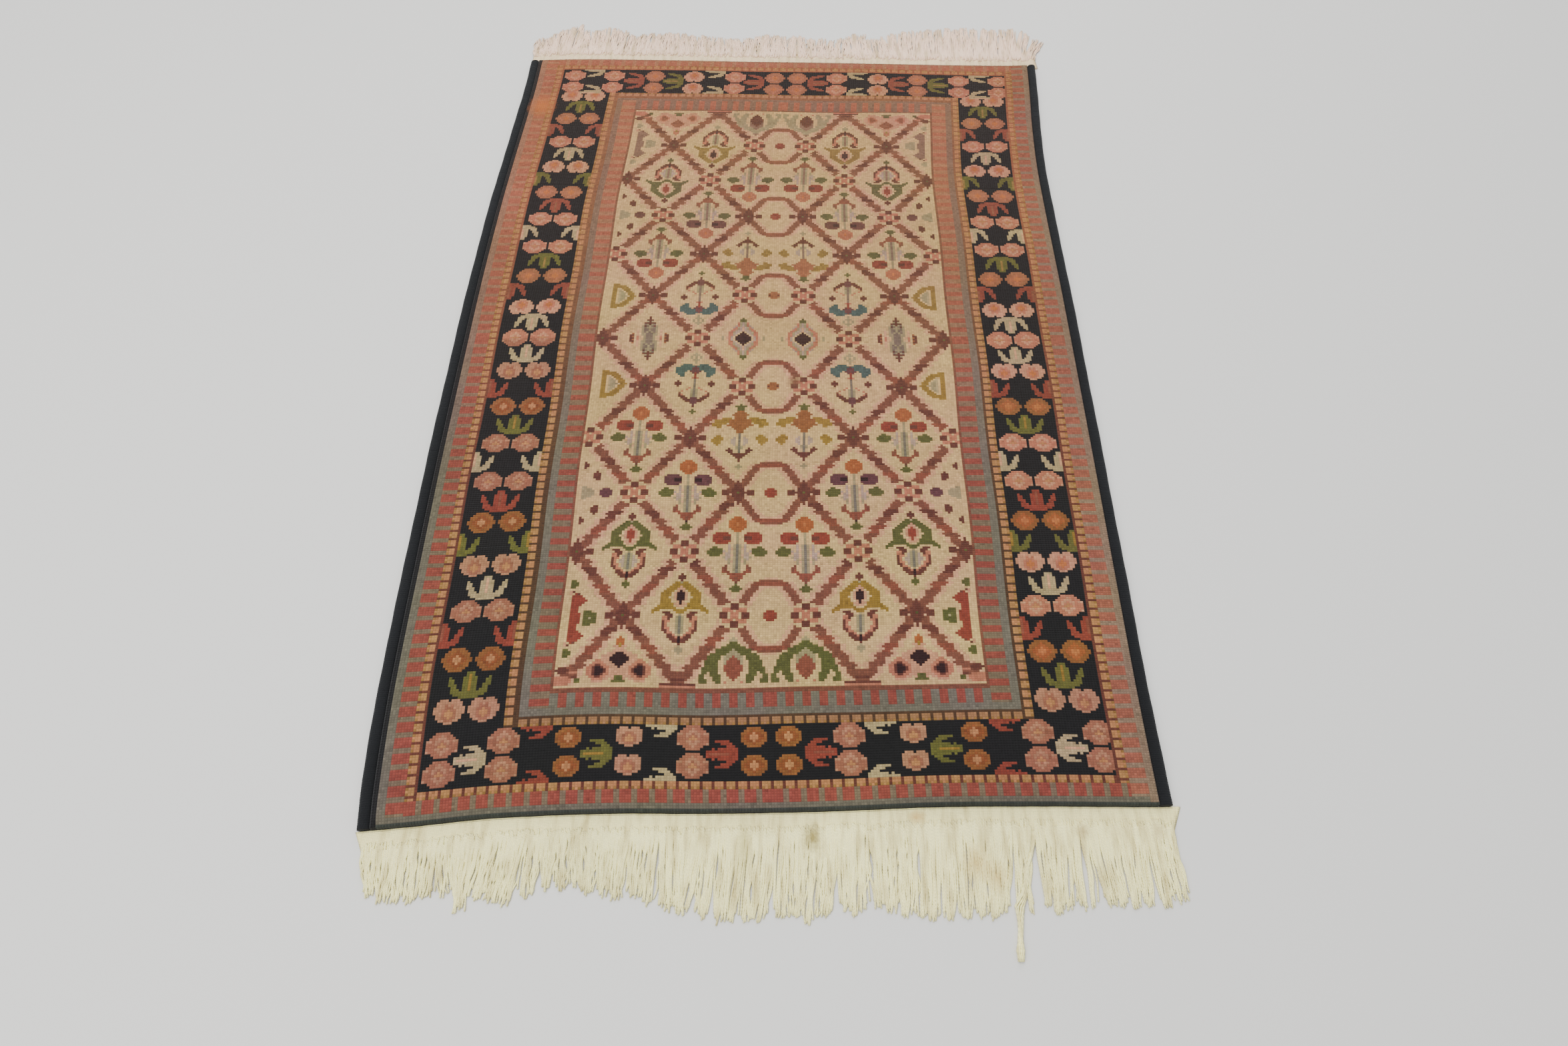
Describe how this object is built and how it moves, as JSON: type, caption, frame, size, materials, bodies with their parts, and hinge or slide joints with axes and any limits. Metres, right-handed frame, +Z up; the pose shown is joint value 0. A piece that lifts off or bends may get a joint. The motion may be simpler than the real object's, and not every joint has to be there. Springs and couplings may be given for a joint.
{
  "type": "kazak rug",
  "caption": "Small hand-knotted wool rug lying flat: patterned pile with a lattice field and floral border, dark overcast sides, flat woven cotton end bands and fringe.",
  "frame": {"origin": "middle of the rug's footprint with its fringes, on the floor it lies on", "axes": "+Y along the rug from its near end to its far end, +X to the right, +Z up through the pile"},
  "size_m": [0.6194, 1.0512, 0.0083],
  "materials": {
    "wool_pile": "short cut wool pile in tan, brick red, salmon, orange, green, teal, grey-blue and near-black navy",
    "overcast_wool": "matt near-black navy wool wrapped round the side cord",
    "cotton_warp": "undyed cream cotton, flat woven at the band and loose in the fringe"
  },
  "bodies": {
    "root": {"rug_body": "wool_pile", "selvedge_left": "overcast_wool", "selvedge_right": "overcast_wool", "fringe_near": "cotton_warp", "fringe_far": "cotton_warp"}
  },
  "joints": []
}
